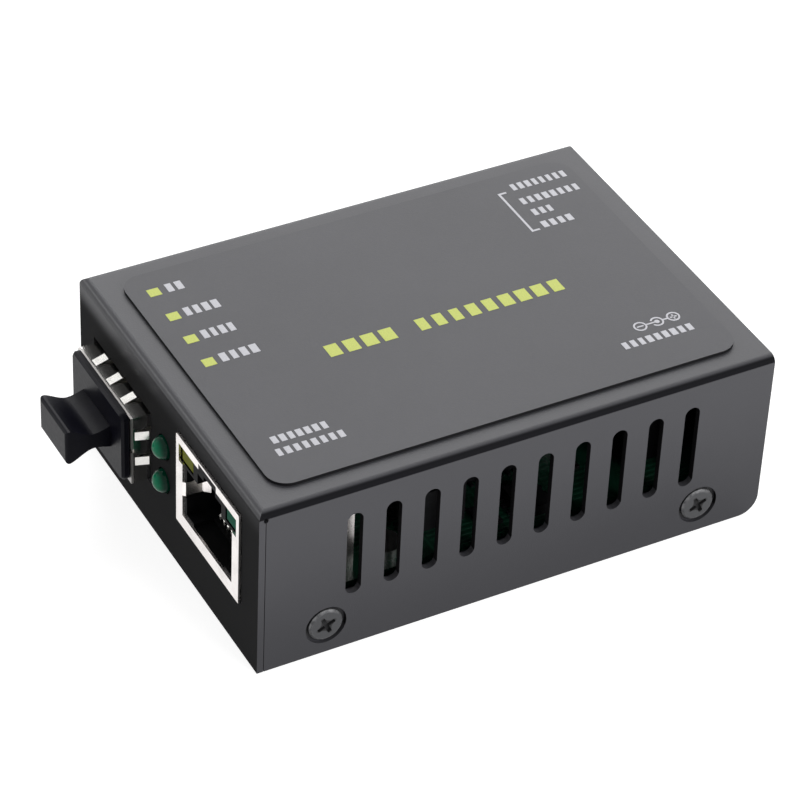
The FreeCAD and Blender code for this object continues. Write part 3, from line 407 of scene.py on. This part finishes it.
# %% Lenses
def lens(name, colour, rim_shade_colour, worn_by, gloss=0.12):
    """Tinted resin with painted light: bright where it faces the front, painted shade towards the rim, with
    faint clouds.
    """
    material, shader, place = finish_named(name, colour, 0.1, Specular_IOR_Level=gloss)
    # painted light and shade: lens faces turned to the front are painted bright, those turned sideways dark
    painted_lit_front = (0 - surface_direction(place).along("y")).above(0.35, 0.95)
    cloud = noise(place, 700, detail=2.0).above(0.3, 0.75)
    feed(shader, Base_Color=(painted_lit_front * (0.75 + 0.25 * cloud)).mixed(rim_shade_colour, colour),
         Roughness=0.08 + 0.06 * cloud, Normal=bump(place, noise(place, 1500, detail=1.0), 0.000006))
    wear(material, *worn_by)


lens("green_lens", (0.0, 0.27, 0.125), (0.0, 0.045, 0.024), ("lower_status_led", "upper_status_led"))
lens("jack_green_lens", (0.0, 0.13, 0.07), (0.0, 0.05, 0.03), ("jack_right_led",), 0.01)
lens("yellow_lens", (0.22, 0.235, 0.012), (0.10, 0.11, 0.008), ("jack_left_led",), 0.01)
print("lenses are on")

# %% [markdown]
# ## Screws
#
# The cover screws are black oxide steel. Their oxide is worn off the rim, so the finish is driven by
# the distance from each screw's own centre. The four screws stand at mirrored places and are turned
# round on the far side, so the signs of the place pick the screw's centre and its turn. The corners of
# the cross are painted near-black as shade, which makes it a dark star.

# %% Screws
oxide, shader, place = finish_named("screw_black", (0.055, 0.056, 0.060), 0.35, Metallic=0.5)
off_y, off_z, radius = from_screw(place)
bare_rim = radius.above(head_radius * 0.80, head_radius * 0.97) * noise(place, 1800).above(0.35, 0.65)
turned = noise(place, 5000)
cross_turn = math.radians(25)
turn_sin, turn_cos = math.sin(cross_turn), math.cos(cross_turn)
arm_y = off_y * turn_cos + off_z * turn_sin
arm_z = off_z * turn_cos - off_y * turn_sin
# painted shade: the corners of the cross are painted near-black
star = place.math("ABSOLUTE", arm_y * arm_z) * (1 / (mm * mm))
cross_shade_full, cross_shade_end = 1.1 * mm, 1.5 * mm
painted_cross_shade = (1 - star.above(0.20, 0.34)) * (1 - radius.above(cross_shade_full, cross_shade_end))
worn_oxide = bare_rim.mixed((0.055, 0.056, 0.060), (0.16, 0.16, 0.165))
feed(shader, Base_Color=painted_cross_shade.mixed(worn_oxide, (0.004, 0.004, 0.005)),
     Metallic=0.5 - 0.5 * painted_cross_shade, Roughness=0.36 + 0.12 * turned + 0.45 * painted_cross_shade,
     Normal=bump(place, turned, 0.000008))
wear(oxide, "cover_screws")
print("screw centres at", round(screw_y / mm, 2), "mm from the middle")

# %% [markdown]
# ## Circuit board
#
# The slots give a glimpse of the board. Solder mask is a glossy green film over copper, and the copper
# tracks under it stand a little proud and read as a paler green. Tracks run in bundles along the board
# or across it, so two sets of stripes are switched on and off by blocky cells.

# %% Circuit board
mask, shader, place = finish_named("board_green", (0.01, 0.10, 0.045), 0.3)
board_x, board_y = place.along("x"), place.along("y")
track_pitch = 0.8 * mm
cells_per_metre = 160.0
turns_per_metre = 2 * math.pi / track_pitch
cell = place.node("ShaderNodeTexVoronoi", {"distance": "CHEBYCHEV"}, output=1, Vector=place,
                  Scale=cells_per_metre)
cell_value = cell.along("x")
stripes_along = place.math("SINE", board_x * turns_per_metre).above(0.1, 0.5)
stripes_across = place.math("SINE", board_y * turns_per_metre).above(0.1, 0.5)
tracks = stripes_along * cell_value.above(0.45, 0.5) + stripes_across * (1 - cell_value.above(0.2, 0.25))
feed(shader, Base_Color=tracks.above(0.2, 0.8).mixed((0.004, 0.036, 0.020), (0.007, 0.058, 0.031)),
     Roughness=0.26 + 0.1 * noise(place, 900), Normal=bump(place, tracks, 0.00003))
wear(mask, "circuit_board")
print("tracks on the board")

# %% [markdown]
# ## Print on the label
#
# The legends on the top are screen print, here as plain marks: a row of small blocks for each word,
# squares for the light legends, rings for the polarity sign and a bracket over the switch settings. Ink
# has a thickness that catches light at its edge, so each mark is a thin plate of its own.
#
# A word is a row of blocks of uneven width, which is a repeat with a rule, so Geometry Nodes make it. The
# tree takes the row's place and size as named inputs and a fixed seed for the widths.

# %% Inks
ink_lift = 0.02 * mm
ink_depth = 0.04 * mm
ink_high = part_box("label_overlay")[1].z + ink_lift


def ink_material(name, colour):
    material, shader, place = finish_named(name, colour, 0.5)
    speckle = noise(place, 6000)
    feed(shader, Base_Color=speckle.above(0.25, 0.75).mixed(shaded(colour, 0.82), colour),
         Normal=bump(place, speckle, 0.000006))
    return material


green_ink = ink_material("green_ink", (0.46, 0.52, 0.045))
white_ink = ink_material("white_ink", (0.48, 0.48, 0.52))
print("ink stands", round(ink_lift / mm, 3), "mm above the film")

# %% Word tree
def word_tree():
    """Blocks in a row along +Y. Lengths are in metres."""
    tree = bpy.data.node_groups.new("word_row", "GeometryNodeTree")
    tree.interface.new_socket("Geometry", in_out="OUTPUT", socket_type="NodeSocketGeometry")
    for name, kind in (("Start", "NodeSocketVector"), ("Letters", "NodeSocketInt"),
                       ("Pitch", "NodeSocketFloat"), ("Height", "NodeSocketFloat"),
                       ("Depth", "NodeSocketFloat"), ("Seed", "NodeSocketInt"),
                       ("Ink", "NodeSocketMaterial")):
        tree.interface.new_socket(name, in_out="INPUT", socket_type=kind)
    source = tree.nodes.new("NodeGroupInput")
    size = {socket.name: Wire(tree, socket) for socket in source.outputs if socket.name}
    step = size["Pitch"].node("ShaderNodeCombineXYZ", Y=size["Pitch"])
    points = step.node("GeometryNodeMeshLine", {"mode": "OFFSET"}, Count=size["Letters"],
                       Start_Location=size["Start"], Offset=step)
    inked_share = 0.72
    narrowest, widest = 0.72, 1.0
    shape = step.node("ShaderNodeCombineXYZ", X=size["Height"], Y=size["Pitch"] * inked_share,
                      Z=size["Depth"])
    block = step.node("GeometryNodeMeshCube", Size=shape)
    width = step.node("FunctionNodeRandomValue", {"data_type": "FLOAT"}, output=1, i2=narrowest,
                      i3=widest, Seed=size["Seed"])
    stretch = step.node("ShaderNodeCombineXYZ", X=1.0, Y=width, Z=1.0)
    placed = step.node("GeometryNodeInstanceOnPoints", Points=points, Instance=block, Scale=stretch)
    solid = step.node("GeometryNodeRealizeInstances", Geometry=placed)
    inked = step.node("GeometryNodeSetMaterial", Geometry=solid, Material=size["Ink"])
    end = tree.nodes.new("NodeGroupOutput")
    tree.links.new(inked.socket, end.inputs["Geometry"])
    return tree


word_row = word_tree()
print("word tree:", len(word_row.nodes), "nodes")

# %% Words
def word_mesh(x, y0, y1, height, letters, ink, seed):
    """One word's blocks as a plain mesh; places are in millimetres."""
    carrier = bpy.data.objects.new("carrier", bpy.data.meshes.new("carrier"))
    bpy.context.scene.collection.objects.link(carrier)
    modifier = carrier.modifiers.new("word", "NODES")
    modifier.node_group = word_row
    pitch = (y1 - y0) / letters
    values = {"Start": (x * mm, (y0 + pitch / 2) * mm, ink_high - ink_depth / 2), "Letters": letters,
              "Pitch": pitch * mm, "Height": height * mm, "Depth": ink_depth, "Seed": seed, "Ink": ink}
    for item in word_row.interface.items_tree:
        if item.in_out == "INPUT":
            modifier[item.identifier] = values[item.name]
    graph = bpy.context.evaluated_depsgraph_get()
    mesh = bpy.data.meshes.new_from_object(carrier.evaluated_get(graph), depsgraph=graph)
    carrier.modifiers.remove(modifier)
    bpy.data.objects.remove(carrier)
    return mesh


def joined(name, meshes, ink):
    """One finished piece from several meshes, riding on the converter."""
    form = bmesh.new()
    for mesh in meshes:
        form.from_mesh(mesh)
    for face in form.faces:
        face.material_index = 0
    whole = bpy.data.meshes.new(name)
    bmesh.ops.recalc_face_normals(form, faces=form.faces)
    form.to_mesh(whole)
    form.free()
    whole.materials.append(ink)
    piece = bpy.data.objects.new(name, whole)
    bpy.context.scene.collection.objects.link(piece)
    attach(piece, "converter")
    return piece


# each word: x, first y, last y, height, letters
title_words = [(1.65, -14.1, -4.6, 2.2, 4), (1.65, -2.3, 17.9, 2.2, 9)]
white_words = [(-17.3, -25.6, -23.1, 1.6, 2), (-12.2, -25.6, -20.8, 1.6, 4),
               (-7.4, -25.6, -21.1, 1.6, 4), (-2.55, -25.6, -20.4, 1.6, 4),
               (13.5, -26.9, -19.6, 1.25, 7), (15.7, -27.4, -18.5, 1.25, 8),
               (15.4, 17.8, 27.6, 1.25, 9),
               (-18.2, 21.7, 29.7, 1.3, 8), (-15.1, 21.3, 29.8, 1.3, 8),
               (-12.5, 21.5, 24.6, 1.3, 3), (-9.8, 21.3, 25.9, 1.3, 4)]
green_meshes = [word_mesh(*word, green_ink, seed) for seed, word in enumerate(title_words)]
white_meshes = [word_mesh(*word, white_ink, seed + 10) for seed, word in enumerate(white_words)]
print("words:", len(green_meshes) + len(white_meshes))

# %% [markdown]
# ## Symbols
#
# The squares, the rings and the bracket are single flat shapes, so each is drawn as an outline and given
# the ink's depth in mesh code.

# %% Flat shapes
def plate_mesh(outlines):
    """Plates of ink from closed outlines of (x, y) points in millimetres."""
    mesh = bpy.data.meshes.new("plates")
    form = bmesh.new()
    for outline in outlines:
        face = form.faces.new([form.verts.new((x * mm, y * mm, ink_high - ink_depth)) for x, y in outline])
        made = bmesh.ops.extrude_face_region(form, geom=[face])
        lifted = [item for item in made["geom"] if isinstance(item, bmesh.types.BMVert)]
        bmesh.ops.translate(form, verts=lifted, vec=(0, 0, ink_depth))
    form.to_mesh(mesh)
    form.free()
    return mesh


def bar(x0, x1, y0, y1):
    return [(x0, y0), (x1, y0), (x1, y1), (x0, y1)]


def arc_points(x, y, radius, start, end, steps):
    """Points on an arc, with angles in degrees from +X."""
    angles = [math.radians(start + (end - start) * step / steps) for step in range(steps + 1)]
    return [(x + radius * math.cos(angle), y + radius * math.sin(angle)) for angle in angles]


def ring(x, y, outer, stroke, start=0, end=360):
    """A ring or a part of one, in short pieces so that each outline stays simple."""
    pieces = []
    count = max(2, int((end - start) / 15))
    for index in range(count):
        low = start + (end - start) * index / count
        high = start + (end - start) * (index + 1) / count
        pieces.append(arc_points(x, y, outer, low, high, 1)
                      + arc_points(x, y, outer - stroke, high, low, 1))
    return pieces


# %% Symbols
half_wide, half_long = 0.72, 0.75
squares = [bar(x - half_wide, x + half_wide, y - half_long, y + half_long)
           for x, y in ((-17.2, -27.0), (-12.0, -26.9), (-7.2, -26.9), (-2.4, -26.9))]
bracket = [bar(-17.7, -9.0, 19.65, 19.95), bar(-17.7, -17.4, 19.95, 20.8), bar(-9.3, -9.0, 19.95, 20.8)]
polarity = (ring(12.9, 21.8, 0.85, 0.22) + ring(12.9, 24.1, 0.85, 0.22, -60, 240)
            + ring(12.85, 26.35, 0.85, 0.22) + [arc_points(12.9, 24.1, 0.32, 0, 345, 12)]
            + [bar(12.78, 13.0, 22.65, 23.8), bar(12.78, 13.0, 24.95, 25.5)]
            + [bar(12.8, 13.0, 21.35, 22.25), bar(12.45, 13.35, 26.25, 26.45), bar(12.8, 13.0, 25.9, 26.8)])
green_print = joined("green_print", green_meshes + [plate_mesh(squares)], green_ink)
white_print = joined("white_print", white_meshes + [plate_mesh(bracket + polarity)], white_ink)
print("print faces:", len(green_print.data.polygons) + len(white_print.data.polygons))

# %% [markdown]
# ## Studio
#
# The background is a clean white, and the box itself is lit softly: a broad box behind on the left gives
# the top its satin sheen, one on the right lights the slotted side, and a small one on the front left
# draws the line along the front bend, over its painted highlight. The front panel faces away from both
# broad boxes and stays dark, and it is painted dark as shade as well.
# The floor gives off light of its own for the camera and for reflections, so it reads white, and it is
# lit as well, so that it keeps the shadow. Other rays see a plain grey floor.

# %% Floor
floor_reach = 3.0
floor_mesh = bpy.data.meshes.new("floor")
floor_mesh.from_pydata([(-floor_reach, -floor_reach, 0), (floor_reach, -floor_reach, 0),
                        (floor_reach, floor_reach, 0), (-floor_reach, floor_reach, 0)],
                       [], [(0, 1, 2, 3)])
floor = bpy.data.objects.new("floor", floor_mesh)
bpy.context.scene.collection.objects.link(floor)
floor_paint, shader, place = finish_named("floor_white", (0.45, 0.45, 0.45), 0.9, Specular_IOR_Level=0.0)
floor_mesh.materials.append(floor_paint)


def seen_directly(start):
    """1 for rays from the camera, a mirror or glass, 0 for the rest."""
    camera_ray, glossy_ray, transmission_ray = (
        start.node("ShaderNodeLightPath", output=number) for number in (0, 3, 6))
    return start.math("MAXIMUM", start.math("MAXIMUM", camera_ray, glossy_ray), transmission_ray)


own_light = 0.83
glow = place.node("ShaderNodeEmission", Color=(1, 1, 1, 1), Strength=own_light * seen_directly(place))
lit = Wire(floor_paint.node_tree, shader.outputs[0])
both = lit.node("ShaderNodeAddShader", i0=lit, i1=glow)
ground = floor_paint.node_tree.nodes["Material Output"]
floor_paint.node_tree.links.new(both.socket, ground.inputs["Surface"])
print("floor is", 2 * floor_reach, "m wide")

# %% Lamps
def softbox(name, direction, distance, size, power):
    """A square lamp that faces the object from one direction."""
    data = bpy.data.lights.new(name, "AREA")
    data.size = size
    data.energy = power
    lamp = bpy.data.objects.new(name, data)
    bpy.context.scene.collection.objects.link(lamp)
    way = Vector(direction).normalized()
    lamp.location = way * distance
    lamp.rotation_euler = way.to_track_quat("Z", "Y").to_euler()
    return lamp


softbox("back_left_box", (-0.68, 0.39, 0.62), 1.0, 0.9, 9.5)
softbox("right_box", (0.85, 0.40, 0.30), 1.1, 0.6, 9)
softbox("front_strip", (-0.68, -0.62, 0.39), 1.1, 0.2, 1.6)

# %% World
world = bpy.data.worlds.new("world")
bpy.context.scene.world = world
world.use_nodes = True
sky = world.node_tree.nodes["Background"]
sky.inputs["Color"].default_value = (1, 1, 1, 1)
start = Wire(world.node_tree, world.node_tree.nodes.new("ShaderNodeTexCoord").outputs["Object"])
fill = 0.35
sky_strength = fill + (1 - fill) * seen_directly(start)
world.node_tree.links.new(sky_strength.socket, sky.inputs["Strength"])
bpy.context.scene.view_settings.view_transform = "Standard"
print("sky fills the shadows with a share of", fill)
